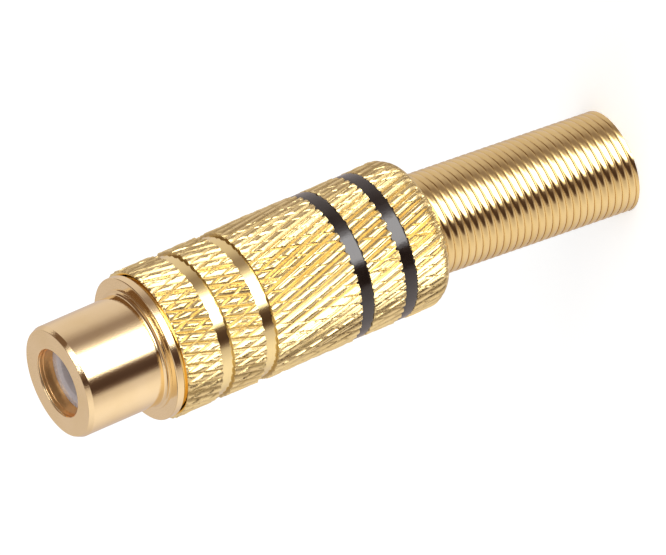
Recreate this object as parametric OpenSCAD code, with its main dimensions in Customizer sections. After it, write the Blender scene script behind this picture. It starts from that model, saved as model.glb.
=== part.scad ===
// In-line phono socket: a turned and plated contact shell with a centre contact in an insulator,
// and a knurled barrel that screws over the solder joints and holds a close-wound strain-relief spring.
// It stands on the end of its spring, with the mouth up. +Z runs along the axis, towards the mouth.

/* [Contact shell] */
// Outside diameter of the tube that the mating plug's shell grips
tube_d = 8.3; // [7.8:0.05:8.8]
// Length of that tube, from the mouth to the step ring
tube_len = 6.15; // [5:0.05:9]
// Bevel at the mouth's outer edge, measured along the radius
mouth_bevel_w = 0.17; // [0.05:0.01:0.3]
// The same bevel, measured along the axis
mouth_bevel_h = 0.38; // [0.1:0.01:0.8]
// Diameter of the mouth
mouth_d = 5.1; // [4.6:0.05:5.4]
// Depth of the mouth's first, wider step
mouth_step_h = 0.42; // [0.2:0.01:0.8]
// How much narrower the second step is, along the radius
mouth_step_w = 0.06; // [0.02:0.01:0.15]
// How far the insulator lies below the mouth
mouth_depth = 1.22; // [0.8:0.01:2]
// Height of the step ring at the tube's root
ring_h = 0.35; // [0.2:0.01:0.8]
// How far the step ring stands out from the tube
ring_w = 0.32; // [0.15:0.01:0.5]
// Rounding of the step ring's outer edge
ring_round = 0.12; // [0.05:0.01:0.15]
// Thickness of the flange
flange_h = 0.62; // [0.4:0.01:1.5]
// How far the flange's edge lies inside the barrel's surface
flange_inset = 0.24; // [0.05:0.01:0.4]
// Rounding of the flange's edges
flange_round = 0.1; // [0.03:0.01:0.18]
// Width of the dark groove between the flange and the barrel
seat_h = 0.16; // [0.05:0.01:0.5]
// How far the shoulder in that groove lies inside the flange's edge
seat_inset = 0.3; // [0.1:0.01:0.45]
// Outside diameter of the threaded shank
shank_d = 9.0; // [8.6:0.05:10.5]
// Length of the threaded shank
shank_len = 5.2; // [4:0.05:8]
// Thickness of the rim that is rolled in over the ground lug
rim_h = 0.35; // [0.2:0.01:0.6]
// How far the rolled rim reaches in over the ground lug
rim_w = 0.4; // [0.2:0.01:0.45]

/* [Barrel] */
// Length of the barrel
barrel_len = 22.45; // [20:0.05:32]
// Wall between the barrel's bore and its plain grooves
barrel_wall = 0.63; // [0.4:0.01:1.2]
// How much wider the bore is behind the thread, along the radius
barrel_relief = 0.1; // [0.05:0.01:0.3]
// Thickness of the lip at the rear that holds the spring in
barrel_lip = 1.8; // [1.5:0.05:3]
// Rounding of the barrel's rear edge
barrel_round = 1.3; // [0.5:0.05:1.4]
// Bevel inside the rear hole
hole_bevel = 0.3; // [0.1:0.05:0.6]
// Plain edge in front of the knurl
barrel_edge = 0.12; // [0.05:0.01:0.4]

/* [Knurl] */
// Number of grooves of each hand round the barrel
knurl_count = 42; // [36:2:60]
// Angle of the grooves to the axis, in degrees
knurl_angle = 17.5; // [12:0.5:35]
// Height of the diamonds
knurl_depth = 0.24; // [0.1:0.01:0.4]
// How far the knurl's roots stand above the plain grooves
knurl_lift = 0.04; // [0.03:0.01:0.1]

/* [Plain grooves] */
// From the barrel's front to the first plated groove
groove_1 = 2.92; // [2:0.02:4]
// From the barrel's front to the second plated groove
groove_2 = 6.56; // [5.5:0.02:8]
// From the barrel's rear to the first lacquered groove
groove_3 = 6.88; // [6:0.02:9]
// From the barrel's rear to the second lacquered groove
groove_4 = 3.22; // [2.5:0.02:4.5]
// Width of the grooves
groove_w = 1; // [0.4:0.02:1.2]
// Thickness of the black lacquer in the last two grooves
lacquer_h = 0.19; // [0.05:0.01:0.24]

/* [Spring] */
// Outside diameter of the spring
spring_d = 7.6; // [6.5:0.1:7.8]
// Diameter of its wire
wire_d = 0.52; // [0.4:0.01:0.6]
// Gap between its turns
turn_gap = 0.02; // [0.01:0.01:0.2]
// Part of the first turn that is ground flat, for the spring to stand on
ground_part = 0.7; // [0.5:0.01:0.75]
// Where the wire's resting end lies, in degrees round the axis
wire_start = 175; // [0:1:359]
// How far the spring stands out of the barrel
spring_len = 16.2; // [10:0.1:25]
// Number of wide turns held inside the barrel
wide_turns = 2; // [1:0.5:3]
// How much wider those turns are, along the radius
wide_step = 0.42; // [0.3:0.01:0.5]
// Lean of the spring outside the barrel, in degrees
spring_lean = 4; // [0:0.1:6]

/* [Insulator] */
// Diameter of the insulator in the contact shell
insulator_d = 6.6; // [6.2:0.05:7]
// Thickness of the washer behind the insulator
washer_h = 0.8; // [0.4:0.05:1.5]

/* [Centre contact] */
// Diameter of the hole for the mating plug's pin
pin_d = 3.2; // [3:0.05:3.4]
// Wall of the split tube round the pin
contact_wall = 0.33; // [0.2:0.01:0.5]
// How far the split tube lies below the insulator's face
contact_setback = 1.6; // [0.5:0.05:2.5]
// Depth of the hole in the split tube
contact_depth = 6.6; // [5:0.1:7]
// Width of the slits in the split tube
slit_w = 0.35; // [0.2:0.01:0.5]
// Length of the slits
slit_len = 4.4; // [2:0.1:4.8]
// Diameter of the solder tail
tail_d = 2.2; // [1.8:0.1:2.6]
// Length of the solder tail behind the contact shell
tail_len = 4; // [3:0.1:6]
// Diameter of the cup in the solder tail
cup_d = 1.4; // [1:0.05:1.5]
// Depth of that cup
cup_len = 2.6; // [1:0.1:2.8]

/* [Ground lug] */
// Thickness of the lug's sheet
lug_t = 0.4; // [0.2:0.01:0.5]
// Diameter of the hole in the lug's ring, round the solder tail
lug_hole_d = 3.6; // [3.2:0.1:4]
// Inner diameter of the cable clamp
clamp_d = 4.4; // [4:0.1:4.8]
// Width of the strip between the ring and the clamp
strip_w = 2; // [1.2:0.1:2.2]
// Length of that strip, from the ring to the clamp
strip_len = 8; // [6:0.1:9]
// Length of the clamp along the cable
clamp_len = 3; // [2:0.1:3.4]
// Part of a circle that the clamp's ears cover, in degrees
clamp_angle = 270; // [200:5:300]
// Diameter of the wire hole in the strip
wire_hole_d = 0.9; // [0.5:0.05:1]

/* [Insulating sleeve] */
// Wall of the sleeve
sleeve_wall = 0.3; // [0.2:0.01:0.5]

/* [Fits] */
// Radial clearance of the barrel's thread on the shank
thread_fit = 0.05; // [0.02:0.01:0.09]
// Radial clearance of the spring in the barrel's rear hole
spring_fit = 0.1; // [0.05:0.01:0.2]
// Radial clearance of the sleeve in the barrel
sleeve_fit = 0.15; // [0.05:0.01:0.25]
// Clearance at the ends of the sleeve
sleeve_gap = 0.2; // [0.1:0.05:0.4]
// Radial clearance of the pieces that are pushed into one another
push_fit = 0.02; // [0.01:0.01:0.05]
// Radial clearance of the pin in the insulator's hole
lead_fit = 0.18; // [0.16:0.01:0.3]

/* [Hidden] */
$fn = 96;
cut = 0.05;

// Heights, from the resting end of the spring up to the mouth
rear_z = spring_len;
lip_z = rear_z + barrel_lip;
front_z = rear_z + barrel_len;
flange_z = front_z + seat_h;
ring_z = flange_z + flange_h;
root_z = ring_z + ring_h;
mouth_z = root_z + tube_len;
shank_z = front_z - shank_len;
lug_z = shank_z + rim_h;
washer_z = lug_z + lug_t;
insulator_z = washer_z + washer_h;
face_z = mouth_z - mouth_depth;
contact_z = face_z - contact_setback;
clamp_z = lug_z - strip_len;

// Radii of the shell and what it holds
tube_r = tube_d / 2;
mouth_r = mouth_d / 2;
shank_r = shank_d / 2;
insulator_r = insulator_d / 2;
contact_r = pin_d / 2 + contact_wall;
tail_r = tail_d / 2;
clamp_r = clamp_d / 2;

// Radii of the barrel, from the bore out to the tips of the knurl
thread_r = shank_r + thread_fit;
bore_r = thread_r + barrel_relief;
plain_r = bore_r + barrel_wall;
root_r = plain_r + knurl_lift;
barrel_r = root_r + knurl_depth;
flange_r = barrel_r - flange_inset;
sleeve_r = bore_r - sleeve_fit;

// The spring
wire_r = wire_d / 2;
coil_r = spring_d / 2 - wire_r;
hole_r = spring_d / 2 + spring_fit;
coil_pitch = wire_d + turn_gap;
wire_sides = 6;
turn_steps = 16;
coil_base = wire_r * sin(360 / wire_sides) - ground_part * coil_pitch;
narrow_turns = (lip_z + wire_r + turn_gap - coil_base) / coil_pitch;
all_turns = narrow_turns + wide_turns;
spring_top = coil_base + all_turns * coil_pitch + wire_r;

// The knurl is a lattice whose points are diamond tips and groove crossings by turns
knurl_columns = 2 * knurl_count;
knurl_row = PI * barrel_r / knurl_count / tan(knurl_angle);
grooves = [groove_1, groove_2, barrel_len - groove_3 - groove_w, barrel_len - groove_4 - groove_w];
knurl_starts = concat([barrel_edge], [for (g = grooves) g + groove_w]);
knurl_ends = concat(grooves, [barrel_len - barrel_round]);

// A turned piece from an outline of [radius, height] points
module turned(outline) {
    rotate_extrude() polygon(outline);
}

// A plain ring between two radii
module ring(outer, inner, z, h) {
    difference() {
        translate([0, 0, z]) cylinder(r = outer, h = h);
        translate([0, 0, z - cut]) cylinder(r = inner, h = h + 2 * cut);
    }
}

// The section of a disc whose outer edges are rounded, for turning
module rounded_section(r, z, h, edge) {
    translate([0, z]) square([r - edge, h]);
    translate([0, z + edge]) square([r, h - 2 * edge]);
    for (corner = [z + edge, z + h - edge]) translate([r - edge, corner]) circle(edge);
}

module contact_shell() color("goldenrod") {
    difference() {
        union() {
            turned([[0, root_z - cut], [tube_r, root_z - cut], [tube_r, mouth_z - mouth_bevel_h],
                [tube_r - mouth_bevel_w, mouth_z], [0, mouth_z]]);
            rotate_extrude() intersection() {
                union() {
                    rounded_section(tube_r + ring_w, ring_z - ring_round, ring_h + ring_round, ring_round);
                    rounded_section(flange_r, flange_z, flange_h, flange_round);
                    translate([0, front_z]) square([flange_r - seat_inset, seat_h + cut]);
                }
                translate([0, front_z]) square([barrel_r, root_z - front_z]);
            }
            translate([0, 0, shank_z]) cylinder(r = shank_r, h = shank_len + cut);
        }
        translate([0, 0, face_z]) cylinder(r = mouth_r - mouth_step_w, h = mouth_depth + cut);
        translate([0, 0, mouth_z - mouth_step_h]) cylinder(r = mouth_r, h = mouth_step_h + cut);
        translate([0, 0, lug_z]) cylinder(r = insulator_r + push_fit, h = face_z - lug_z);
        translate([0, 0, shank_z - cut]) cylinder(r = insulator_r - rim_w, h = rim_h + 2 * cut);
    }
}

module insulator() color("ghostwhite") {
    difference() {
        translate([0, 0, insulator_z]) cylinder(r = insulator_r, h = face_z - insulator_z);
        translate([0, 0, insulator_z - cut])
            cylinder(r = contact_r + push_fit, h = contact_z - insulator_z + cut);
        translate([0, 0, contact_z - cut]) cylinder(r = pin_d / 2 + lead_fit, h = contact_setback + 2 * cut);
    }
}

module centre_contact() color("gold") {
    difference() {
        union() {
            translate([0, 0, insulator_z]) cylinder(r = contact_r, h = contact_z - insulator_z);
            translate([0, 0, shank_z - tail_len]) cylinder(r = tail_r, h = insulator_z - shank_z + tail_len + cut);
        }
        translate([0, 0, contact_z - contact_depth]) cylinder(r = pin_d / 2, h = contact_depth + cut);
        for (turn = [0, 90]) rotate(turn) translate([-contact_r - cut, -slit_w / 2, contact_z - slit_len])
            cube([2 * (contact_r + cut), slit_w, slit_len + cut]);
        translate([0, 0, shank_z - tail_len - cut]) cylinder(r = cup_d / 2, h = cup_len + cut);
        translate([-tail_r - cut, 0, shank_z - tail_len - cut])
            cube([2 * (tail_r + cut), tail_r + cut, cup_len - cup_d / 2 + cut]);
    }
}

module rear_washer() color("saddlebrown") {
    ring(insulator_r, tail_r + push_fit, washer_z, washer_h);
}

module ground_lug() color("silver") {
    ring(insulator_r, lug_hole_d / 2, lug_z, lug_t);
    difference() {
        translate([-strip_w / 2, -clamp_r - lug_t, clamp_z]) cube([strip_w, lug_t, strip_len]);
        translate([0, -clamp_r + cut, clamp_z + strip_len / 2]) rotate([90, 0, 0])
            cylinder(d = wire_hole_d, h = lug_t + 2 * cut);
    }
    rotate(-90 - clamp_angle / 2) translate([0, 0, clamp_z - clamp_len]) rotate_extrude(angle = clamp_angle)
        translate([clamp_r, 0]) square([lug_t, clamp_len + lug_t]);
}

module insulating_sleeve() color("lightyellow") {
    bottom = spring_top + sleeve_gap;
    ring(sleeve_r, sleeve_r - sleeve_wall, bottom, shank_z - sleeve_gap - bottom);
}

// Height of the knurl at a column, between 0 in a groove's crossing and 1 at a diamond's tip
function is_tip(column, row) = (column + row) % 2 == 0;
function knurl_height(column, place) = let (row = floor(place), part = place - row)
    is_tip(column, row) ? 1 - part : part;

// Rows of one knurled band: its two ends, and the lattice's own rows between them
function band_rows(start, end) = let (first = ceil(start / knurl_row + 0.2), last = floor(end / knurl_row - 0.2))
    concat([start / knurl_row], [for (row = [first:1:last]) row], [end / knurl_row]);

// One knurled band as a ring, whose inner wall lies inside the barrel's own wall
module knurled_band(start, end) {
    rows = band_rows(start, end);
    n = knurl_columns;
    last = len(rows) - 1;
    outer = [for (row = rows) for (column = [0:n - 1]) let (
        r = root_r + knurl_depth * knurl_height(column, row), a = 360 * column / n)
        [r * cos(a), r * sin(a), front_z - row * knurl_row]];
    inner_r = (bore_r + plain_r) / 2;
    inner = [for (row = [rows[0], rows[last]]) for (column = [0:n - 1]) let (a = 360 * column / n)
        [inner_r * cos(a), inner_r * sin(a), front_z - row * knurl_row]];
    base = len(outer);
    wall = [for (i = [0:last - 1]) for (c = [0:n - 1]) let (
        a = i * n + c, b = i * n + (c + 1) % n, d = a + n, e = b + n, place = floor(rows[i] + 0.001))
        each (is_tip(c, place) ? [[a, d, b], [b, d, e]] : [[a, d, e], [a, e, b]])];
    lining = [for (c = [0:n - 1]) let (a = base + c, b = base + (c + 1) % n)
        each [[a, b, a + n], [b, b + n, a + n]]];
    top = [for (c = [0:n - 1]) let (a = c, b = (c + 1) % n) each [[a, b, base + a], [b, base + b, base + a]]];
    bottom = [for (c = [0:n - 1]) let (
        a = last * n + c, b = last * n + (c + 1) % n, d = base + n + c, e = base + n + (c + 1) % n)
        each [[a, d, b], [b, d, e]]];
    polyhedron(concat(outer, inner), [for (f = concat(wall, lining, top, bottom)) [f[0], f[2], f[1]]]);
}

module barrel() color("gold") {
    difference() {
        union() {
            translate([0, 0, rear_z + barrel_round]) cylinder(r = plain_r, h = barrel_len - barrel_round);
            rotate_extrude() {
                translate([0, rear_z]) square([barrel_r - barrel_round, barrel_round]);
                intersection() {
                    translate([barrel_r - barrel_round, rear_z + barrel_round]) circle(barrel_round);
                    translate([0, rear_z]) square([barrel_r, barrel_round]);
                }
            }
            for (i = [0:len(knurl_starts) - 1]) knurled_band(knurl_starts[i], knurl_ends[i]);
        }
        translate([0, 0, shank_z - sleeve_gap]) cylinder(r = thread_r, h = shank_len + sleeve_gap + cut);
        translate([0, 0, lip_z]) cylinder(r = bore_r, h = shank_z - sleeve_gap - lip_z);
        translate([0, 0, rear_z - cut]) cylinder(r = hole_r, h = barrel_lip + 2 * cut);
        translate([0, 0, rear_z - cut]) cylinder(r1 = hole_r + hole_bevel + cut, r2 = hole_r, h = hole_bevel + cut);
    }
}

// Black lacquer that fills one of the plain grooves
module lacquer(groove) color("black") {
    ring(plain_r + lacquer_h, plain_r, rear_z + groove, groove_w);
}

module lacquer_ring_front() lacquer(groove_3);
module lacquer_ring_rear() lacquer(groove_4);

// Centre line of the spring's wire after a number of turns: [radius, height, sideways lean]
function widening(turns) = wide_step * min(1, max(0, (turns - narrow_turns) * 2));
function wire_line(turns) = let (z = coil_base + turns * coil_pitch)
    [coil_r + widening(turns), z, -max(0, rear_z - z) * tan(spring_lean)];

// One close-wound coil, whose first turn is ground flat to stand on
module spring() color("gold") {
    steps = ceil(all_turns * turn_steps);
    points = [for (i = [0:steps]) let (turns = min(i / turn_steps, all_turns), line = wire_line(turns),
        a = wire_start + 360 * turns) for (j = [0:wire_sides - 1]) let (
        side = 360 * j / wire_sides, r = line[0] + wire_r * cos(side), z = line[1] + wire_r * sin(side))
        [r * cos(a) + line[2], r * sin(a), max(0, z)]];
    sides = [for (i = [0:steps - 1]) for (j = [0:wire_sides - 1]) let (
        a = i * wire_sides + j, b = i * wire_sides + (j + 1) % wire_sides)
        each [[a, b, a + wire_sides], [b, b + wire_sides, a + wire_sides]]];
    first = [for (j = [wire_sides - 1:-1:0]) j];
    end = [for (j = [0:wire_sides - 1]) steps * wire_sides + j];
    polyhedron(points, concat(sides, [first, end]));
}

contact_shell();
insulator();
centre_contact();
rear_washer();
ground_lug();
insulating_sleeve();
barrel();
lacquer_ring_front();
lacquer_ring_rear();
spring();
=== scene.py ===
import math
import random
import bmesh
import bpy
from mathutils import Matrix, Vector


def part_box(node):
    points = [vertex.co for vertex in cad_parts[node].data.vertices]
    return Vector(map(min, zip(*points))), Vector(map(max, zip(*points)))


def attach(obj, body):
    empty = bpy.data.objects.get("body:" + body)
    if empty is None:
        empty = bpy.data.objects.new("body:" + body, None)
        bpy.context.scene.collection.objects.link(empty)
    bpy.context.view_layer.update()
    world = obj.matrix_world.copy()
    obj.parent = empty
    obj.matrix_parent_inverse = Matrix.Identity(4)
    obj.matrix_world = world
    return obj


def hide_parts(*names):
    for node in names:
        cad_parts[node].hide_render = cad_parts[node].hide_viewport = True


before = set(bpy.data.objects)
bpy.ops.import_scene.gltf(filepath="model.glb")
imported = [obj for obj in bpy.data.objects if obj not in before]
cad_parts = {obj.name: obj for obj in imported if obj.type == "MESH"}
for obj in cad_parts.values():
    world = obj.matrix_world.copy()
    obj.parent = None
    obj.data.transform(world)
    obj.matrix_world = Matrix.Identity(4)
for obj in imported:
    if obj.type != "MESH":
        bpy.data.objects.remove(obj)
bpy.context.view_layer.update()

MM = 0.001


def height_of(node_name, corner):
    """Height of a CAD node's lowest (0) or highest (1) corner, in millimetres."""
    return round(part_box(node_name)[corner].z / MM, 3)


def radius_of(node_name):
    """Largest radius of a CAD node round the axis, in millimetres."""
    return round(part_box(node_name)[1].x / MM, 3)


def lacquered_groove(node_name):
    """(depth behind the barrel's front, width) of the groove that a ring of lacquer fills."""
    low, high = height_of(node_name, 0), height_of(node_name, 1)
    return round(FRONT - high, 3), round(high - low, 3)


# Heights above the spring's resting end, in millimetres
REAR = height_of("barrel", 0)
LIP = REAR + 1.8
SHANK = height_of("contact_shell", 0)
FRONT = height_of("barrel", 1)
FLANGE = FRONT + 0.16
STEP = FLANGE + 0.62
ROOT = STEP + 0.35
MOUTH = height_of("contact_shell", 1)
FACE = height_of("insulator", 1)

# Radii of the contact shell and of the insulator in it, in millimetres
SHANK_R = 4.5
RIM_R = 2.9
SEAT_R = 5.02
FLANGE_R = radius_of("contact_shell")
RING_R = 4.47
TUBE_R = 4.15
MOUTH_R = 2.55
MOUTH_STEP_R = 2.52
INNER_MOUTH_R = 2.49
SHELL_BORE_R = 3.32
INSULATOR_R = radius_of("insulator")
PIN_HOLE_R = 1.78
RECESS_R = 1.95

# Radii of the barrel and of its rear rounding, and its length, in millimetres
BORE = 4.65
THREAD_BORE = 4.55
LIP_HOLE = 3.85
GROOVE_FLOOR = 5.28
KNURL_ROOT = 5.32
BARREL = radius_of("barrel")
LACQUER_R = radius_of("lacquer_ring_front")
REAR_ROUND = 1.3
LENGTH = round(FRONT - REAR, 3)

# The barrel's four plain grooves, front to rear: (depth behind the barrel's front, width)
PLATED_GROOVES = [(2.92, 1.0), (6.56, 1.0)]
LACQUERED_GROOVES = [lacquered_groove("lacquer_ring_front"), lacquered_groove("lacquer_ring_rear")]
GROOVES = PLATED_GROOVES + LACQUERED_GROOVES

# The knurl: the rolling tool's 42 ridges landed halfway between their first tracks on the second
# pass, so that 84 fine grooves of each hand lie at 17.5 degrees to the axis
KNURL_COUNT = 84
KNURL_LEAD = 2 * math.pi * BARREL / KNURL_COUNT / math.tan(math.radians(17.5))
COLUMNS_A_GROOVE = 8
KNURL_START = 0.12
KNURL_END = LENGTH - 0.35
# It runs out over this length, up to an end that lies behind its last row
KNURL_FADE = 0.7
KNURL_FADE_END = LENGTH - 0.3

# The thread, in millimetres: its pitch, its depth in the shank and in the barrel's bore, and the
# length over which it runs out at either end
THREAD_PITCH = 0.75
SHANK_THREAD = 0.36
BORE_THREAD = 0.28
THREAD_FADE = 0.3
# How steep its flanks are, in depths for each pitch along, and how deep they would meet without the
# flat root between them
THREAD_FLANK = 2.9
THREAD_POINT = 1.3

# The spring, in millimetres and turns: half the wire's thickness, the coil's radius to the wire's
# middle, its pitch and the height at which the wire's middle starts
WIRE = 0.26
COIL = 3.8 - WIRE
COIL_PITCH = 0.573
COIL_BASE = -0.1528
# The last turns are wider, behind the barrel's lip
ALL_TURNS = 34
NARROW_TURNS = ALL_TURNS - 1.83
WIDE_STEP = 0.42
# How the part outside the barrel leans, the direction in which the wire starts, and how far its outer
# face falls off from the middle to the edges
LEAN = math.tan(math.radians(4))
WIRE_START = math.radians(175)
FACE_SAG = 0.062

# The photograph's view: its angles in degrees, its frame's width and its scale, and the way from the
# mouth's centre to the frame's middle, in pixels to the right and up
VIEW_RISE = 25
VIEW_ROLL = 113.52
FRAME_WIDTH = 666
PIXELS_A_MM = 14.4
FRAME_MIDDLE = (275.55, 105.85)


# Camera, at the photograph's angle

def add_camera():
    rise = math.radians(VIEW_RISE)
    towards = Vector((0, -math.cos(rise), math.sin(rise)))
    up = Vector((0, math.sin(rise), math.cos(rise)))
    across = Vector((1, 0, 0))
    roll = math.radians(VIEW_ROLL)
    right = math.cos(roll) * across + math.cos(roll + math.pi / 2) * up
    top = math.sin(roll) * across + math.sin(roll + math.pi / 2) * up
    pixel = MM / PIXELS_A_MM
    middle = Vector((0, 0, MOUTH * MM)) + (FRAME_MIDDLE[0] * right + FRAME_MIDDLE[1] * top) * pixel
    distance = 1.2
    sensor = 36
    camera = bpy.data.objects.new("camera", bpy.data.cameras.new("camera"))
    bpy.context.scene.collection.objects.link(camera)
    turn = Matrix((right, top, towards)).transposed().to_4x4()
    camera.matrix_world = Matrix.Translation(middle + towards * distance) @ turn
    camera.data.sensor_width = sensor
    camera.data.lens = sensor * distance / (FRAME_WIDTH * pixel)
    camera.data.clip_start = 0.05
    camera.data.clip_end = 20
    bpy.context.scene.camera = camera


# Node helpers

def node(tree, kind, **values):
    made = tree.nodes.new(kind)
    for key, value in values.items():
        setattr(made, key, value)
    return made


def link(tree, source, target):
    tree.links.new(source, target)


def maths(tree, operation, a, b=None, c=None):
    made = node(tree, "ShaderNodeMath", operation=operation)
    for socket, value in zip(made.inputs, (a, b, c)):
        if value is None:
            continue
        if isinstance(value, (int, float)):
            socket.default_value = value
        else:
            link(tree, value, socket)
    return made.outputs[0]


def soft_step(tree, value, start, end):
    """From 0 at start to 1 at end, eased at both."""
    made = node(tree, "ShaderNodeMapRange", interpolation_type="SMOOTHSTEP")
    link(tree, value, made.inputs["Value"])
    made.inputs["From Min"].default_value = start
    made.inputs["From Max"].default_value = end
    return made.outputs["Result"]


def blended(tree, share, first, second):
    """The first colour where share is 0 and the second where it is 1. A colour is an output or a tuple."""
    made = node(tree, "ShaderNodeMix", data_type="RGBA")
    link(tree, share, made.inputs["Factor"])
    for label, colour in (("A", first), ("B", second)):
        if isinstance(colour, tuple):
            made.inputs[label].default_value = (*colour, 1)
        else:
            link(tree, colour, made.inputs[label])
    return made.outputs["Result"]


def new_group(name, inputs, outputs):
    """An empty node group with a vector input and named values, and its two end nodes."""
    tree = bpy.data.node_groups.new(name, "ShaderNodeTree")
    for label, kind, value in inputs:
        socket = tree.interface.new_socket(name=label, in_out="INPUT", socket_type=kind)
        if value is not None:
            socket.default_value = value
    for label, kind in outputs:
        tree.interface.new_socket(name=label, in_out="OUTPUT", socket_type=kind)
    return tree, node(tree, "NodeGroupInput"), node(tree, "NodeGroupOutput")


# Finishes that several materials share

def plating_grain_group():
    """Fine grain of electroplating: an uneven gloss and a very shallow pebbled surface."""
    tree, given, made = new_group(
        "plating grain",
        [("Vector", "NodeSocketVector", None), ("Grain", "NodeSocketFloat", 7000.0),
         ("Gloss", "NodeSocketFloat", 0.08), ("Dull", "NodeSocketFloat", 0.16)],
        [("Roughness", "NodeSocketFloat"), ("Height", "NodeSocketFloat")])
    fine = node(tree, "ShaderNodeTexNoise")
    fine.inputs["Detail"].default_value = 3
    link(tree, given.outputs["Vector"], fine.inputs["Vector"])
    link(tree, given.outputs["Grain"], fine.inputs["Scale"])
    broad = node(tree, "ShaderNodeTexNoise")
    broad.inputs["Detail"].default_value = 4
    broad.inputs["Scale"].default_value = 600
    link(tree, given.outputs["Vector"], broad.inputs["Vector"])
    spread = node(tree, "ShaderNodeMapRange")
    uneven = maths(tree, "MULTIPLY", fine.outputs["Fac"], broad.outputs["Fac"])
    link(tree, uneven, spread.inputs["Value"])
    spread.inputs["From Min"].default_value = 0.15
    spread.inputs["From Max"].default_value = 0.38
    link(tree, given.outputs["Gloss"], spread.inputs["To Min"])
    link(tree, given.outputs["Dull"], spread.inputs["To Max"])
    link(tree, spread.outputs["Result"], made.inputs["Roughness"])
    link(tree, fine.outputs["Fac"], made.inputs["Height"])
    return tree


def turning_lines_group():
    """Marks that a lathe tool leaves: rings whose height changes along the axis alone."""
    tree, given, made = new_group(
        "turning lines",
        [("Vector", "NodeSocketVector", None), ("Lines", "NodeSocketFloat", 9000.0),
         ("Wander", "NodeSocketFloat", 250.0)],
        [("Height", "NodeSocketFloat")])
    parts = node(tree, "ShaderNodeSeparateXYZ")
    link(tree, given.outputs["Vector"], parts.inputs["Vector"])
    place = node(tree, "ShaderNodeCombineXYZ")
    for axis, scale in (("X", "Wander"), ("Y", "Wander"), ("Z", "Lines")):
        stretched = maths(tree, "MULTIPLY", parts.outputs[axis], given.outputs[scale])
        link(tree, stretched, place.inputs[axis])
    lines = node(tree, "ShaderNodeTexNoise")
    lines.inputs["Scale"].default_value = 1
    lines.inputs["Detail"].default_value = 3
    link(tree, place.outputs["Vector"], lines.inputs["Vector"])
    link(tree, lines.outputs["Fac"], made.inputs["Height"])
    return tree


def tarnish_group():
    """Slow change of a finish's colour over the piece, between a clean and a handled tone."""
    tree, given, made = new_group(
        "tarnish",
        [("Vector", "NodeSocketVector", None), ("Clean", "NodeSocketColor", (0.9, 0.7, 0.4, 1)),
         ("Handled", "NodeSocketColor", (0.8, 0.55, 0.25, 1)), ("Size", "NodeSocketFloat", 350.0)],
        [("Color", "NodeSocketColor")])
    patches = node(tree, "ShaderNodeTexNoise")
    patches.inputs["Detail"].default_value = 5
    link(tree, given.outputs["Vector"], patches.inputs["Vector"])
    link(tree, given.outputs["Size"], patches.inputs["Scale"])
    spread = node(tree, "ShaderNodeMapRange")
    link(tree, patches.outputs["Fac"], spread.inputs["Value"])
    spread.inputs["From Min"].default_value = 0.38
    spread.inputs["From Max"].default_value = 0.72
    tone = blended(tree, spread.outputs["Result"], given.outputs["Clean"], given.outputs["Handled"])
    link(tree, tone, made.inputs["Color"])
    return tree


PLATING_GRAIN = plating_grain_group()
TURNING_LINES = turning_lines_group()
TARNISH = tarnish_group()


def placed(tree, group, vector, **values):
    """A shared finish put in a material, with its own values."""
    made = node(tree, "ShaderNodeGroup", node_tree=group)
    link(tree, vector, made.inputs["Vector"])
    for label, value in values.items():
        made.inputs[label].default_value = value
    return made


def bump(tree, height, distance, under=None):
    made = node(tree, "ShaderNodeBump")
    made.inputs["Distance"].default_value = distance
    link(tree, height, made.inputs["Height"])
    if under is not None:
        link(tree, under, made.inputs["Normal"])
    return made.outputs["Normal"]


def tarnished(tree, place, clean, handled, **values):
    """Colour of a finish that changes slowly between a clean and a handled tone."""
    return placed(tree, TARNISH, place, Clean=(*clean, 1), Handled=(*handled, 1), **values).outputs["Color"]


def new_material(name):
    """A material with a Principled shader and the piece's own coordinates."""
    material = bpy.data.materials.new(name)
    material.use_nodes = True
    tree = material.node_tree
    shader = tree.nodes["Principled BSDF"]
    place = node(tree, "ShaderNodeTexCoord").outputs["Object"]
    return material, tree, shader, place


# Materials

def plating(name, clean, handled, gloss, dull, grain=7000.0, pebble=0.0000016, lines=None):
    """Warm yellow plating on brass. pebble is the height of its grain in metres; lines: turning marks
    as (lines a metre, height in metres)."""
    material, tree, shader, place = new_material(name)
    shader.inputs["Metallic"].default_value = 1
    link(tree, tarnished(tree, place, clean, handled), shader.inputs["Base Color"])
    surface = placed(tree, PLATING_GRAIN, place, Grain=grain, Gloss=gloss, Dull=dull)
    link(tree, surface.outputs["Roughness"], shader.inputs["Roughness"])
    normal = bump(tree, surface.outputs["Height"], pebble)
    if lines:
        marks = placed(tree, TURNING_LINES, place, Lines=lines[0])
        normal = bump(tree, marks.outputs["Height"], lines[1], normal)
    link(tree, normal, shader.inputs["Normal"])
    return material


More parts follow.
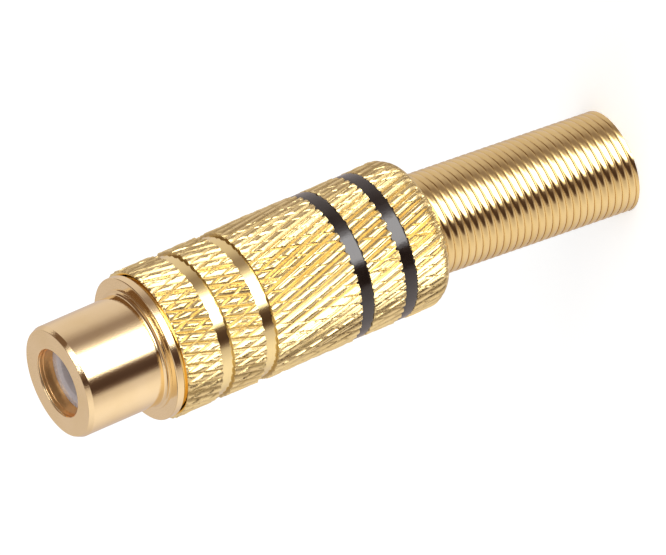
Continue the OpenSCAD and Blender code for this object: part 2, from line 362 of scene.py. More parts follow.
def knurl_plating():
    """Plating over the knurl: bright on the tips, and deeper in tone and duller in the grooves. The deeper
    tone is painted shade down between the flanks; the dullness is a rougher finish there.
    """
    material, tree, shader, place = new_material("knurled plating")
    shader.inputs["Metallic"].default_value = 1
    flat = node(tree, "ShaderNodeVectorMath", operation="MULTIPLY")
    flat.inputs[1].default_value = (1, 1, 0)
    link(tree, place, flat.inputs[0])
    radius = node(tree, "ShaderNodeVectorMath", operation="LENGTH")
    link(tree, flat.outputs["Vector"], radius.inputs[0])
    # painted shade: tip is 0 down in the grooves, where the deeper tone below stands in for the shade
    # between the flanks
    tip = soft_step(tree, radius.outputs["Value"], (KNURL_ROOT + 0.02) * MM, (BARREL - 0.03) * MM)
    low = tarnished(tree, place, (0.68, 0.53, 0.245), (0.60, 0.45, 0.19))
    high = tarnished(tree, place, (0.93, 0.77, 0.39), (0.88, 0.71, 0.34))
    link(tree, blended(tree, tip, low, high), shader.inputs["Base Color"])
    surface = placed(tree, PLATING_GRAIN, place, Grain=7000.0, Gloss=0.3, Dull=0.42)
    gloss = maths(tree, "MULTIPLY_ADD", tip, -0.06, surface.outputs["Roughness"])
    link(tree, gloss, shader.inputs["Roughness"])
    link(tree, bump(tree, surface.outputs["Height"], 0.00001), shader.inputs["Normal"])
    return material


def wire_plating():
    """Plating over the coil: duller in the lines where one turn touches the next, and deeper in tone there
    as painted shade in the crease between the turns.
    """
    material, tree, shader, place = new_material("spring plating")
    shader.inputs["Metallic"].default_value = 1
    gap = node(tree, "ShaderNodeAttribute", attribute_name="beside")
    near = soft_step(tree, gap.outputs["Fac"], 0.5, 1.0)
    crest = tarnished(tree, place, (0.89, 0.70, 0.335), (0.83, 0.63, 0.28))
    # painted shade: the deeper tone where one turn touches the next stands in for the shade in the crease
    crease_shade_tone = tarnished(tree, place, (0.86, 0.655, 0.285), (0.80, 0.59, 0.24))
    link(tree, blended(tree, near, crest, crease_shade_tone), shader.inputs["Base Color"])
    surface = placed(tree, PLATING_GRAIN, place, Grain=6000.0, Gloss=0.04, Dull=0.08)
    gloss = maths(tree, "MULTIPLY_ADD", near, 0.06, surface.outputs["Roughness"])
    link(tree, gloss, shader.inputs["Roughness"])
    link(tree, bump(tree, surface.outputs["Height"], 0.000003), shader.inputs["Normal"])
    return material


def plastic(name, clean, handled, gloss, dull, grain=4000.0, pebble=0.000003):
    """Moulded or extruded plastic with a faint skin, and its shader."""
    material, tree, shader, place = new_material(name)
    link(tree, tarnished(tree, place, clean, handled, Size=900.0), shader.inputs["Base Color"])
    surface = placed(tree, PLATING_GRAIN, place, Grain=grain, Gloss=gloss, Dull=dull)
    link(tree, surface.outputs["Roughness"], shader.inputs["Roughness"])
    link(tree, bump(tree, surface.outputs["Height"], pebble), shader.inputs["Normal"])
    return material, shader


def laminate_board():
    """Brown paper laminate: fibres that run one way, in two tones."""
    material, tree, shader, place = new_material("laminate board")
    stretch = node(tree, "ShaderNodeMapping")
    stretch.inputs["Scale"].default_value = (1500, 6000, 9000)
    link(tree, place, stretch.inputs["Vector"])
    fibres = node(tree, "ShaderNodeTexNoise")
    fibres.inputs["Scale"].default_value = 1
    fibres.inputs["Detail"].default_value = 5
    link(tree, stretch.outputs["Vector"], fibres.inputs["Vector"])
    tones = node(tree, "ShaderNodeValToRGB")
    tones.color_ramp.elements[0].position = 0.3
    tones.color_ramp.elements[0].color = (0.2, 0.09, 0.035, 1)
    tones.color_ramp.elements[1].position = 0.7
    tones.color_ramp.elements[1].color = (0.36, 0.19, 0.085, 1)
    link(tree, fibres.outputs["Fac"], tones.inputs["Fac"])
    link(tree, tones.outputs["Color"], shader.inputs["Base Color"])
    surface = placed(tree, PLATING_GRAIN, place, Grain=5000.0, Gloss=0.4, Dull=0.65)
    link(tree, surface.outputs["Roughness"], shader.inputs["Roughness"])
    link(tree, bump(tree, fibres.outputs["Fac"], 0.000008), shader.inputs["Normal"])
    return material


def lacquer():
    """Glossy black lacquer that has run level in its groove."""
    material, tree, shader, place = new_material("black lacquer")
    tone = tarnished(tree, place, (0.012, 0.007, 0.005), (0.022, 0.014, 0.010), Size=1500.0)
    link(tree, tone, shader.inputs["Base Color"])
    surface = placed(tree, PLATING_GRAIN, place, Grain=2000.0, Gloss=0.03, Dull=0.07)
    link(tree, surface.outputs["Roughness"], shader.inputs["Roughness"])
    link(tree, bump(tree, surface.outputs["Height"], 0.00001), shader.inputs["Normal"])
    shader.inputs["IOR"].default_value = 1.7
    return material


def insulator_plastic():
    """Milky moulded plastic that scatters light inside it, with a faint even glow that is painted light
    lifting the shade in its pin hole.
    """
    material, shader = plastic(
        "insulator plastic", (0.51, 0.475, 0.48), (0.46, 0.42, 0.43), gloss=0.25, dull=0.38)
    # painted light: a faint glow, though the plastic is no lamp, that lifts the shade down in the pin hole
    shader.inputs["Emission Color"].default_value = (0.55, 0.51, 0.5, 1)
    shader.inputs["Emission Strength"].default_value = 0.1
    shader.inputs["Subsurface Weight"].default_value = 0.8
    shader.inputs["Subsurface Radius"].default_value = (1.0, 0.95, 0.95)
    shader.inputs["Subsurface Scale"].default_value = 0.0012
    shader.inputs["Coat Weight"].default_value = 0.2
    return material


polished = plating(
    "polished plating", (1.0, 0.82, 0.495), (0.96, 0.77, 0.43), gloss=0.04, dull=0.08,
    grain=11000.0, pebble=0.0000045, lines=(16000.0, 0.0000008))
# Plating inside the mouth: a rougher finish, and a deeper tone that is painted shade down in the bore
bore_shade_plating = plating(
    "bore plating with painted shade", (0.93, 0.59, 0.26), (0.87, 0.52, 0.21), gloss=0.28, dull=0.36,
    pebble=0.0000004)
knurled = knurl_plating()
grooved = plating(
    "turned groove plating", (1.0, 0.84, 0.42), (0.96, 0.79, 0.36), gloss=0.05, dull=0.1,
    grain=11000.0, pebble=0.000002)
wire = wire_plating()
contact = plating(
    "contact plating", (0.93, 0.68, 0.36), (0.86, 0.58, 0.27), gloss=0.12, dull=0.22,
    lines=(12000.0, 0.000001))
tinned = plating(
    "tinned sheet", (0.78, 0.77, 0.74), (0.62, 0.6, 0.56), gloss=0.22, dull=0.42,
    grain=3000.0, pebble=0.000006)
insulating = insulator_plastic()
extruded, _ = plastic("sleeve plastic", (0.87, 0.85, 0.78), (0.80, 0.77, 0.68), gloss=0.3, dull=0.45)
board = laminate_board()
black = lacquer()


# Turned pieces

# How far a ring lies from a rounded corner, and how long a wall must be to get one, in roundings
RING_DISTANCE = 1.5
RING_ROOM = 1.7
# Points closer than this are one, in metres
MERGED = 1e-6


def with_rings(corners):
    """The same section with a point just beside each rounding, so that flat walls stay flat in shading."""
    made = []
    for i, (r, z, rounding) in enumerate(corners):
        beside = []
        for other_r, other_z, other in (corners[i - 1], corners[(i + 1) % len(corners)]):
            length = math.hypot(other_r - r, other_z - z)
            if rounding and length > RING_ROOM * (rounding + other) + 0.01:
                share = RING_DISTANCE * rounding / length
                beside.append([(r + (other_r - r) * share, z + (other_z - z) * share, 0)])
            else:
                beside.append([])
        made += beside[0] + [(r, z, rounding)] + beside[1]
    return made


def turned(corners, steps, sectors=1):
    """A closed ring spun from its section. corners: (radius, height, rounding), in millimetres.
    With several sectors, one is spun and then repeated round the axis."""
    corners = with_rings(corners)
    mesh = bmesh.new()
    points = [mesh.verts.new((r * MM, 0, z * MM)) for r, z, _ in corners]
    for a, b in zip(points, points[1:] + points[:1]):
        mesh.edges.new((a, b))
    roundings = {}
    for point, (_, _, rounding) in zip(points, corners):
        if rounding:
            roundings.setdefault(rounding, []).append(point)
    for rounding, group in sorted(roundings.items()):
        bmesh.ops.bevel(mesh, geom=group, offset=rounding * MM, offset_type="OFFSET", segments=3,
                        profile=0.5, affect="VERTICES", clamp_overlap=True, material=-1)
    bmesh.ops.spin(mesh, geom=mesh.verts[:] + mesh.edges[:], cent=(0, 0, 0), axis=(0, 0, 1),
                   angle=2 * math.pi / sectors, steps=steps // sectors, use_merge=sectors == 1,
                   use_duplicate=False)
    if sectors > 1:
        repeat(mesh, sectors, Matrix.Rotation(2 * math.pi / sectors, 4, "Z"))
    bmesh.ops.remove_doubles(mesh, verts=mesh.verts, dist=MERGED)
    return mesh


def repeat(mesh, count, move):
    """Copies of the whole mesh, each moved on from the one before."""
    first = mesh.verts[:] + mesh.edges[:] + mesh.faces[:]
    place = Matrix.Identity(4)
    for _ in range(count - 1):
        place = move @ place
        copy = bmesh.ops.duplicate(mesh, geom=first)["geom"]
        points = [part for part in copy if isinstance(part, bmesh.types.BMVert)]
        bmesh.ops.transform(mesh, verts=points, matrix=place)


def rows(low, high, step):
    """Heights from low to high, both left out, for extra points on a straight part of a section."""
    count = max(1, round((high - low) / step))
    return [low + (high - low) * i / count for i in range(1, count)]


def finish_piece(name, mesh, material, body, nodes, sharp=32):
    """Makes the object, rides it on its body and lets it stand for its CAD nodes. Edges that turn by
    more than sharp, in degrees, stay sharp."""
    bmesh.ops.recalc_face_normals(mesh, faces=mesh.faces)
    for face in mesh.faces:
        face.smooth = True
    data = bpy.data.meshes.new(name)
    mesh.to_mesh(data)
    mesh.free()
    data.set_sharp_from_angle(angle=math.radians(sharp))
    piece = bpy.data.objects.new(name, data)
    bpy.context.scene.collection.objects.link(piece)
    data.materials.append(material)
    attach(piece, body)
    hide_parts(*nodes)
    return piece


def thread_depth(angle, height):
    """Depth of a right-hand thread at a point, from 0 on a crest to 1 at a root."""
    part = (height / THREAD_PITCH - angle / (2 * math.pi)) % 1
    return min(1, max(0, THREAD_POINT - THREAD_FLANK * abs(part - 0.5)))


def cut_thread(mesh, radius, low, high, depth):
    """Lowers the points of one wall along a helix, or raises them where depth is negative."""
    for point in mesh.verts:
        r, z = math.hypot(point.co.x, point.co.y) / MM, point.co.z / MM
        if abs(r - radius) < 0.001 and low < z < high:
            ends = min(1, (z - low) / THREAD_FADE, (high - z) / THREAD_FADE)
            lowered = r - depth * ends * thread_depth(math.atan2(point.co.y, point.co.x), z)
            point.co.x *= lowered / r
            point.co.y *= lowered / r


def make_shell():
    chamfer = 0.2
    rim = 0.35
    relief = 0.05
    threaded = [(SHANK_R, z, 0) for z in rows(SHANK + chamfer, FRONT - relief, THREAD_PITCH / 10)]
    rear = [(RIM_R, SHANK, 0.08), (SHANK_R - chamfer, SHANK, 0), (SHANK_R, SHANK + chamfer, 0)]
    flange = [(SHANK_R, FRONT - relief, 0), (SHANK_R, FRONT, 0), (SEAT_R, FRONT, 0), (SEAT_R, FLANGE, 0),
              (FLANGE_R, FLANGE, 0.09), (FLANGE_R, STEP, 0.08), (RING_R, STEP, 0.02),
              (RING_R, STEP + 0.13, 0.04), (TUBE_R + 0.11, STEP + 0.15, 0.03)]
    tube = [(TUBE_R, ROOT - 0.06, 0.05), (TUBE_R, MOUTH - 0.38, 0.03), (TUBE_R - 0.17, MOUTH, 0.02)]
    mouth = [(MOUTH_R, MOUTH, 0.05), (MOUTH_R, MOUTH - 0.16, 0.02), (MOUTH_STEP_R, MOUTH - 0.18, 0.02),
             (MOUTH_STEP_R, MOUTH - 0.42, 0.02), (INNER_MOUTH_R, MOUTH - 0.44, 0.02),
             (INNER_MOUTH_R, FACE, 0)]
    bore = [(SHELL_BORE_R, FACE, 0), (SHELL_BORE_R, SHANK + rim, 0), (RIM_R, SHANK + rim, 0)]
    mesh = turned(rear + threaded + flange + tube + mouth + bore, steps=240)
    cut_thread(mesh, SHANK_R, SHANK + 0.15, FRONT - 0.3, SHANK_THREAD)
    # faces inside the mouth get the bore plating, whose deeper tone is painted shade
    for face in mesh.faces:
        middle = face.calc_center_median()
        if math.hypot(middle.x, middle.y) < (MOUTH_R - 0.01) * MM:
            face.material_index = 1
    shell = finish_piece("shell", mesh, polished, "socket", ["contact_shell"])
    shell.data.materials.append(bore_shade_plating)


def make_insulator():
    back = height_of("insulator", 0) - 0.15
    recess = FACE - 1.75
    chamfer = 0.2
    mesh = turned(
        [(RECESS_R, back, 0), (INSULATOR_R, back, 0.1), (INSULATOR_R, FACE, 0.05),
         (PIN_HOLE_R + chamfer, FACE, 0.04), (PIN_HOLE_R, FACE - 0.22, 0.04),
         (PIN_HOLE_R, recess, 0), (RECESS_R, recess, 0)], steps=128)
    finish_piece("insulator_body", mesh, insulating, "socket", ["insulator"])


# Knurled barrel

# How steep the grooves' flanks are: the knurl's full height is gained in 1 / CUT_SLOPE of a spacing
CUT_SLOPE = 1.3
# What a flank gains over one mesh column, as a share of the knurl's height. Floors lie at multiples
# of it, which keeps them on the mesh's own lines, and a second track's this many above a first one's
COLUMN_RISE = CUT_SLOPE / COLUMNS_A_GROOVE
TRACK_STEP = 5
# How much a flank's steepness varies, from groove to groove
STEEPNESS = (0.82, 1.14)
# The flanks round off towards the crests: how steep they start at the floor, as a share of a straight
# flank, and how much of that share is lost over a groove spacing
FLOOR_STEEPNESS = 1.45
FALL_OFF = 0.8
# The falling grooves are the deeper ones in front, and the rising ones towards the rear. The change
# starts this far behind the barrel's front and takes this length, in millimetres
BITE_CHANGE = 6.5
BITE_LENGTH = 3


def uneven_cuts(seed):
    """Each groove's floor above the deepest one, as a share of the knurl's height, and how far it has
    wandered from its even place, in groove spacings, both in steps that keep the floors on the mesh's
    own lines; then how steep its two flanks are."""
    chance = random.Random(seed)
    cuts = []
    for i in range(KNURL_COUNT):
        shift = chance.choice((-1, 0, 0, 1))
        floor = abs(shift) if i % 2 else TRACK_STEP + abs(shift) * chance.choice((-1, 1))
        cuts.append((floor * COLUMN_RISE, shift / COLUMNS_A_GROOVE,
                     CUT_SLOPE * chance.uniform(*STEEPNESS), CUT_SLOPE * chance.uniform(*STEEPNESS)))
    return cuts


FALLING_CUTS = uneven_cuts(3)
RISING_CUTS = uneven_cuts(8)


def cut_height(place, cuts, second):
    """Height over one hand's V grooves; place is 0, 1, 2 ... on their centre lines. second is how much
    higher the floors of the second tracks lie here."""
    near = round(place)
    heights = []
    for i in (near - 1, near, near + 1):
        floor, shift, before, after = cuts[i % KNURL_COUNT]
        floor += 0 if i % 2 else second
        beside = abs(place - i - shift)
        slope = before if place < i + shift else after
        heights.append(floor + slope * beside * (FLOOR_STEEPNESS - FALL_OFF * beside))
    return min(heights)


def knurl_flanks(angle, depth):
    """Heights of the falling and the rising grooves at a point, as shares of the knurl's height.
    depth is the distance behind the barrel's front, in millimetres."""
    across = angle * KNURL_COUNT / (2 * math.pi)
    along = depth / KNURL_LEAD
    rear = min(1, max(0, (depth - BITE_CHANGE) / BITE_LENGTH))
    second = 2 * COLUMN_RISE * (1 - rear)
    falling = cut_height(across + along, FALLING_CUTS, second) + 2 * COLUMN_RISE * rear
    rising = cut_height(across - along, RISING_CUTS, second) + COLUMN_RISE * (1 - rear)
    return falling, rising


def gather_columns(mesh, radius, columns, kept):
    """Gathers the points inside a radius on every kept-th column, because only the knurl needs them all."""
    for point in mesh.verts:
        if math.hypot(point.co.x, point.co.y) < radius * MM:
            column = round(math.atan2(point.co.y, point.co.x) * columns / (2 * math.pi))
            back = (column % kept) * 2 * math.pi / columns
            point.co = Matrix.Rotation(-back, 3, "Z") @ point.co
    bmesh.ops.remove_doubles(mesh, verts=mesh.verts, dist=MERGED)


def split_along_grooves(mesh, quads):
    """Cuts each four-sided face of the knurl along the groove that it belongs to."""
    for quad in quads:
        middle = quad.calc_center_median()
        falling, rising = knurl_flanks(math.atan2(middle.y, middle.x), FRONT - middle.z / MM)
        low = sorted(quad.verts, key=lambda v: v.co.z)[:2]
        turn = low[0].co.x * low[1].co.y - low[0].co.y * low[1].co.x
        first = low[0] if (turn > 0) == (falling < rising) else low[1]
        corners = quad.verts[:]
        across = corners[(corners.index(first) + 2) % 4]
        bmesh.utils.face_split(quad, first, across)


def knurled_parts():
    """The knurled bands as (start, end), measured behind the barrel's front."""
    starts = [KNURL_START] + [depth + width for depth, width in GROOVES]
    ends = [depth for depth, _ in GROOVES] + [KNURL_END]
    return list(zip(starts, ends))


def make_barrel():
    columns = KNURL_COUNT * COLUMNS_A_GROOVE
    entry = 0.25
    flare = 0.02
    spare = 0.03
    chamfer = 0.3
    thread_row = 0.1
    inner = BORE + 0.25
    plain_from = 5
    plain_to = GROOVE_FLOOR + 0.01
    section = [(THREAD_BORE + entry, FRONT, 0), (BARREL - KNURL_START, FRONT, 0)]
    step = KNURL_LEAD / COLUMNS_A_GROOVE
    bands = knurled_parts()
    round_start = LENGTH - REAR_ROUND

    def outside(depth):
        inside = max(0, depth - round_start)
        return BARREL - REAR_ROUND + math.sqrt(max(0, REAR_ROUND ** 2 - inside ** 2))

    for start, end in bands:
        if start > 1:
            section += [(GROOVE_FLOOR, FRONT - start + flare, 0)]
        section += [(outside(start), FRONT - start, 0)]
        first, last = math.ceil((start + spare) / step), math.floor((end - spare) / step)
        section += [(outside(i * step), FRONT - i * step, 0) for i in range(first, last + 1)]
        section += [(outside(end), FRONT - end, 0)]
        if end < round_start:
            section += [(GROOVE_FLOOR, FRONT - end - flare, 0)]
    section += [(BARREL - REAR_ROUND + 0.25, REAR, 0), (LIP_HOLE + chamfer, REAR, 0.03),
                (LIP_HOLE, REAR + chamfer, 0.03), (LIP_HOLE, LIP, 0), (BORE, LIP, 0),
                (BORE, SHANK - 0.2, 0), (THREAD_BORE, SHANK - 0.1, 0)]
    section += [(THREAD_BORE, z, 0) for z in rows(SHANK - 0.1, FRONT - entry, thread_row)]
    section += [(THREAD_BORE, FRONT - entry, 0)]
    mesh = turned(section, columns, sectors=KNURL_COUNT)
    gather_columns(mesh, inner, columns, kept=6)
    cut_thread(mesh, THREAD_BORE, SHANK, FRONT - entry, -BORE_THREAD)
    knurl = set()
    for point in mesh.verts:
        r, depth = math.hypot(point.co.x, point.co.y) / MM, FRONT - point.co.z / MM
        for start, end in bands:
            if start - 0.001 < depth < end + 0.001 and r > outside(depth) - 0.001:
                fade = min(1, max(0, (KNURL_FADE_END - depth) / KNURL_FADE))
                kept = min(1, *knurl_flanks(math.atan2(point.co.y, point.co.x), depth))
                lowered = r - (BARREL - KNURL_ROOT) * (1 - kept) * fade
                point.co.x *= lowered / r
                point.co.y *= lowered / r
                knurl.add(point)
                break
    split_along_grooves(mesh, [face for face in mesh.faces if len(face.verts) == 4
                               and abs(face.normal.z) < 0.9 and all(v in knurl for v in face.verts)])
    for face in mesh.faces:
        middle = face.calc_center_median()
        if plain_from < math.hypot(middle.x, middle.y) / MM < plain_to:
            face.material_index = 1
    barrel = finish_piece("knurled_barrel", mesh, knurled, "cover", ["barrel"], sharp=22)
    barrel.data.materials.append(grooved)


def make_lacquer(name, depth, width, cad_node):
    """Lacquer that fills a plain groove and has crept a little way into the knurl beside it."""
    low, high = FRONT - depth - width, FRONT - depth
    creep = 0.1
    edge = LACQUER_R - 0.05
    shoulder = LACQUER_R - 0.005
    mesh = turned(
        [(GROOVE_FLOOR, low - creep, 0), (edge, low - creep, 0), (shoulder, low + 0.06, 0),
         (LACQUER_R, low + 0.2, 0), (LACQUER_R, high - 0.2, 0), (shoulder, high - 0.06, 0),
         (edge, high + creep, 0), (GROOVE_FLOOR, high + creep, 0)], steps=360)
    finish_piece(name, mesh, black, "cover", [cad_node])


# Spring

def make_spring():
    """One close-wound wire: its resting end ground flat, its last turns wide behind the barrel's lip."""
    sides, steps_a_turn = 16, 48
    mesh = bmesh.new()
    ring = bmesh.ops.create_circle(mesh, segments=sides, radius=WIRE * MM, cap_ends=False)["verts"]
    stand = Matrix.Rotation(math.pi / 2, 4, "X")
    bmesh.ops.transform(mesh, verts=ring, matrix=Matrix.Translation((COIL * MM, 0, COIL_BASE * MM)) @ stand)
    bmesh.ops.spin(mesh, geom=mesh.verts[:] + mesh.edges[:], cent=(0, 0, 0), axis=(0, 0, 1),
                   dvec=(0, 0, COIL_PITCH * MM / steps_a_turn), angle=2 * math.pi, steps=steps_a_turn,
                   use_merge=False, use_duplicate=False)
    repeat(mesh, ALL_TURNS, Matrix.Translation((0, 0, COIL_PITCH * MM)))
    bmesh.ops.remove_doubles(mesh, verts=mesh.verts, dist=MERGED)
    bmesh.ops.holes_fill(mesh, edges=[e for e in mesh.edges if e.is_boundary], sides=sides)
    # how near each point is to the next turn, from 0 on the face's middle to 1 where they touch; the coil's
    # plating paints shade there
    beside = mesh.verts.layers.float.new("beside")
    # the wire's own height tells how far round it has gone, to the nearest turn that its angle allows
    for point in mesh.verts:
        r, z = math.hypot(point.co.x, point.co.y), point.co.z
        angle = math.atan2(point.co.y, point.co.x) / (2 * math.pi)
        rough = (z / MM - COIL_BASE) / COIL_PITCH
        turns = angle + round(rough - angle)
        centre = COIL_BASE + turns * COIL_PITCH
        wide = WIDE_STEP * min(1, max(0, (turns - NARROW_TURNS) * 2)) * MM
        # the wire touches the next turn and its outer face is a shallow arc, bridged by the plating
        outward, along = r / MM - COIL, (z / MM - centre) * COIL_PITCH / 2 / WIRE
        z = (centre + along) * MM
        point[beside] = min(1, abs(along) / WIRE)
        if outward > 0:
            r = (COIL + WIRE - FACE_SAG * (along / WIRE) ** 2) * MM
        else:
            r = (COIL + WIRE - FACE_SAG + outward * (2 - FACE_SAG / WIRE)) * MM
        spun = angle * 2 * math.pi + WIRE_START
        lean = -max(0, REAR - centre) * LEAN * MM
        point.co = ((r + wide) * math.cos(spun) + lean, (r + wide) * math.sin(spun), max(0, z))
    finish_piece("spring_coil", mesh, wire, "boot", ["spring"], sharp=60)


# Floor, lamps and surroundings

# How much brighter than its shading the camera sees the floor
FLOOR_LIFT = 0.36


def add_floor():
    mesh = bmesh.new()
    bmesh.ops.create_grid(mesh, x_segments=1, y_segments=1, size=3)
    data = bpy.data.meshes.new("floor")
    mesh.to_mesh(data)
    mesh.free()
    floor = bpy.data.objects.new("floor", data)
    bpy.context.scene.collection.objects.link(floor)
    material, tree, shader, _ = new_material("pale floor")
    shader.inputs["Base Color"].default_value = (0.9, 0.9, 0.9, 1)
    shader.inputs["Roughness"].default_value = 0.9
    shader.inputs["Specular IOR Level"].default_value = 0
    lift = node(tree, "ShaderNodeEmission")
    seen = node(tree, "ShaderNodeLightPath")
    strength = maths(tree, "MULTIPLY", seen.outputs["Is Camera Ray"], FLOOR_LIFT)
    link(tree, strength, lift.inputs["Strength"])
    both = node(tree, "ShaderNodeAddShader")
    link(tree, shader.outputs["BSDF"], both.inputs[0])
    link(tree, lift.outputs["Emission"], both.inputs[1])
    link(tree, both.outputs["Shader"], tree.nodes["Material Output"].inputs["Surface"])
    data.materials.append(material)
    floor.visible_glossy = False


# What the metal mirrors: (direction round the object in degrees from the camera, brightness)
STUDIO = [(-180, 0.6), (-147, 0.66), (-135, 0.75), (-123, 0.86), (-106, 0.96), (-92, 0.99),
          (-80, 0.94), (-68, 0.78), (-57, 0.64), (-52, 0.34), (-47, 0.12), (-40, 0.07), (-28, 0.09),
          (-21, 0.2), (-15, 1.6), (-11, 4.2), (-6, 4.8), (26, 4.8), (32, 2.6), (39, 1.1), (46, 0.6),
          (55, 0.34), (66, 0.32), (76, 0.46), (88, 0.64), (100, 0.71), (123, 0.76), (138, 0.76),
          (152, 0.66), (180, 0.6)]
STUDIO_PEAK = 4.8
# The table below the lamp panels, and the low panel in front of it
TABLE = [(-180, 0.55), (-130, 0.8), (-100, 0.98), (-74, 0.92), (-52, 0.66), (-38, 0.3), (-18, 0.36),
         (-8, 0.55), (28, 0.55), (42, 0.42), (60, 0.32), (80, 0.4), (110, 0.6), (180, 0.55)]
LOW_PANEL = [(-180, 0.5), (-22, 0.5), (-10, 2.4), (60, 2.4), (74, 0.6), (180, 0.5)]
# How high the lit surroundings reach, as (direction, degrees above the horizon): above that it is
# dark, up to a dim roof
CEILING = [(-180, 45), (-25, 45), (-14, 23.4), (56, 23.4), (70, 8), (137, 6), (150, 45), (180, 45)]
DARKNESS = (0.035, 0.021, 0.0146)
ROOF = 0.62
# Where each starts and where it has fully taken over, in degrees above the horizon, or for the
# darkness in degrees above the ceiling
TABLE_EDGE = (-36, -46)
LOW_PANEL_EDGE = (-60, -65)
CEILING_EDGE = (-1.2, 1.2)
ROOF_EDGE = (48, 64)
# The lamp panels draw together upwards, by a share of their width for each radian up, and above a
# height in degrees their edges lean: degrees round for each degree up
NARROWING = 0.26
LEAN_START = -5
HIGH_LEAN = 0.64
# Dark surroundings are warmer: how fast that fades with brightness, and the shares of green and of
# blue that black would lack
WARMTH_FADE = 4.5
GREEN_LOSS = 0.55
BLUE_LOSS = 0.68
# Even light of the room on what isn't mirrored
ROOM_LIGHT = 0.75


def studio_tone(level):
    """Colour of the surroundings at one brightness, as a share of the brightest."""
    share, warmth = level / STUDIO_PEAK, 1 / (1 + WARMTH_FADE * level)
    return share, share * (1 - GREEN_LOSS * warmth), share * (1 - BLUE_LOSS * warmth)


def round_ramp(tree, turn, stops):
    """A colour ramp over the directions round the object. stops: (degrees, colour)."""
    made = node(tree, "ShaderNodeValToRGB")
    ramp = made.color_ramp
    for i, (degrees, colour) in enumerate(stops):
        position = degrees / 360 + 0.5
        if i == 0:
            stop = ramp.elements[0]
        elif i == len(stops) - 1:
            stop = ramp.elements[len(ramp.elements) - 1]
        else:
            stop = ramp.elements.new(position)
        stop.position = position
        stop.color = (*colour, 1)
    link(tree, turn, made.inputs["Fac"])
    return made.outputs["Color"]


def lit_ramp(tree, turn, stops):
    """The same from brightness. stops: (degrees, brightness)."""
    return round_ramp(tree, turn, [(degrees, studio_tone(level)) for degrees, level in stops])


def share_of_height(degrees):
    """A height above the horizon, from 0 straight down to 1 straight up."""
    return degrees / 180 + 0.5


def mirrored_studio(tree):
    """Colour of the studio in the direction that a ray leaves, as a share of the brightest."""
    way = node(tree, "ShaderNodeSeparateXYZ")
    link(tree, node(tree, "ShaderNodeTexCoord").outputs["Generated"], way.inputs["Vector"])
    angle = maths(tree, "ARCTAN2", way.outputs["X"], maths(tree, "MULTIPLY", way.outputs["Y"], -1.0))
    climb = maths(tree, "ARCSINE", way.outputs["Z"])
    elevation = maths(tree, "MULTIPLY_ADD", climb, 1 / math.pi, 0.5)
    around = maths(tree, "FRACT", maths(tree, "MULTIPLY_ADD", angle, 1 / (2 * math.pi), 1.5))

    # the panels are straight at the height that an upright wall mirrors towards the camera
    rise = maths(tree, "ADD", climb, math.radians(VIEW_RISE))
    above = maths(tree, "SUBTRACT", rise, math.radians(VIEW_RISE + LEAN_START))
    above = maths(tree, "MAXIMUM", above, 0.0)
    narrowed = maths(tree, "MULTIPLY_ADD", maths(tree, "SUBTRACT", rise, above), NARROWING, 1.0)
    upright = maths(tree, "MULTIPLY_ADD", above, -HIGH_LEAN, maths(tree, "MULTIPLY", angle, narrowed))
    turn = maths(tree, "FRACT", maths(tree, "MULTIPLY_ADD", upright, 1 / (2 * math.pi), 1.5))

    tone = lit_ramp(tree, turn, STUDIO)
    for stops, edge in ((TABLE, TABLE_EDGE), (LOW_PANEL, LOW_PANEL_EDGE)):
        below = soft_step(tree, elevation, *(share_of_height(degrees) for degrees in edge))
        tone = blended(tree, below, tone, lit_ramp(tree, around, stops))
    ceiling = round_ramp(tree, around, [(degrees, [share_of_height(up)] * 3) for degrees, up in CEILING])
    past = maths(tree, "SUBTRACT", elevation, ceiling)
    past = soft_step(tree, past, *(degrees / 180 for degrees in CEILING_EDGE))
    tone = blended(tree, past, tone, DARKNESS)
    top = soft_step(tree, elevation, *(share_of_height(degrees) for degrees in ROOF_EDGE))
    return blended(tree, top, tone, studio_tone(ROOF))


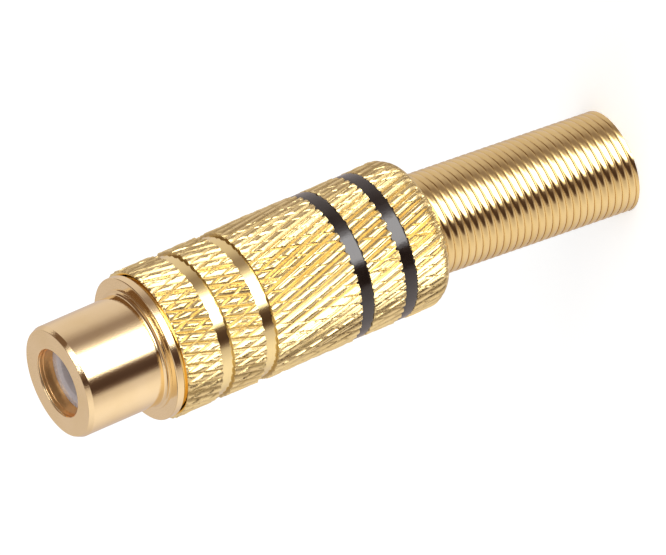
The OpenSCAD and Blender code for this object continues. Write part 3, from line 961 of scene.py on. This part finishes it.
def add_world():
    """Metal mirrors the studio, the camera sees white, and all else gets the room's even light."""
    world = bpy.data.worlds.new("studio")
    bpy.context.scene.world = world
    world.use_nodes = True
    tree = world.node_tree
    tree.nodes.clear()
    mirrored, plain, backdrop = (node(tree, "ShaderNodeBackground") for _ in range(3))
    mirrored.inputs["Strength"].default_value = STUDIO_PEAK
    link(tree, mirrored_studio(tree), mirrored.inputs["Color"])
    plain.inputs["Strength"].default_value = ROOM_LIGHT
    backdrop.inputs["Strength"].default_value = 1
    seen = node(tree, "ShaderNodeLightPath")
    glossy = node(tree, "ShaderNodeMixShader")
    link(tree, seen.outputs["Is Glossy Ray"], glossy.inputs["Fac"])
    link(tree, plain.outputs["Background"], glossy.inputs[1])
    link(tree, mirrored.outputs["Background"], glossy.inputs[2])
    direct = node(tree, "ShaderNodeMixShader")
    link(tree, seen.outputs["Is Camera Ray"], direct.inputs["Fac"])
    link(tree, glossy.outputs["Shader"], direct.inputs[1])
    link(tree, backdrop.outputs["Background"], direct.inputs[2])
    link(tree, direct.outputs["Shader"], node(tree, "ShaderNodeOutputWorld").inputs["Surface"])


def add_lamp(name, place, size, power):
    """A square lamp, size across, that faces the middle of the object. Metal doesn't mirror it."""
    data = bpy.data.lights.new(name, "AREA")
    data.size = size
    data.energy = power
    lamp = bpy.data.objects.new(name, data)
    bpy.context.scene.collection.objects.link(lamp)
    lamp.location = place
    middle = Vector((0, 0, 0.023))
    lamp.rotation_euler = (middle - Vector(place)).to_track_quat("-Z", "Y").to_euler()
    lamp.visible_glossy = False


# Putting it together

bpy.context.scene.view_settings.view_transform = "Standard"
add_camera()
add_world()
add_floor()
add_lamp("soft_front_lamp", (0.25, -0.55, 0.6), size=0.5, power=1.6)
add_lamp("soft_back_lamp", (-0.35, 0.5, 0.45), size=0.5, power=0.9)

make_shell()
make_insulator()
make_barrel()
make_lacquer("lacquer_front", *LACQUERED_GROOVES[0], "lacquer_ring_front")
make_lacquer("lacquer_rear", *LACQUERED_GROOVES[1], "lacquer_ring_rear")
make_spring()

for cad_name, material in [("centre_contact", contact), ("rear_washer", board), ("ground_lug", tinned),
                           ("insulating_sleeve", extruded)]:
    piece = bpy.data.objects[cad_name]
    piece.data.materials.clear()
    piece.data.materials.append(material)
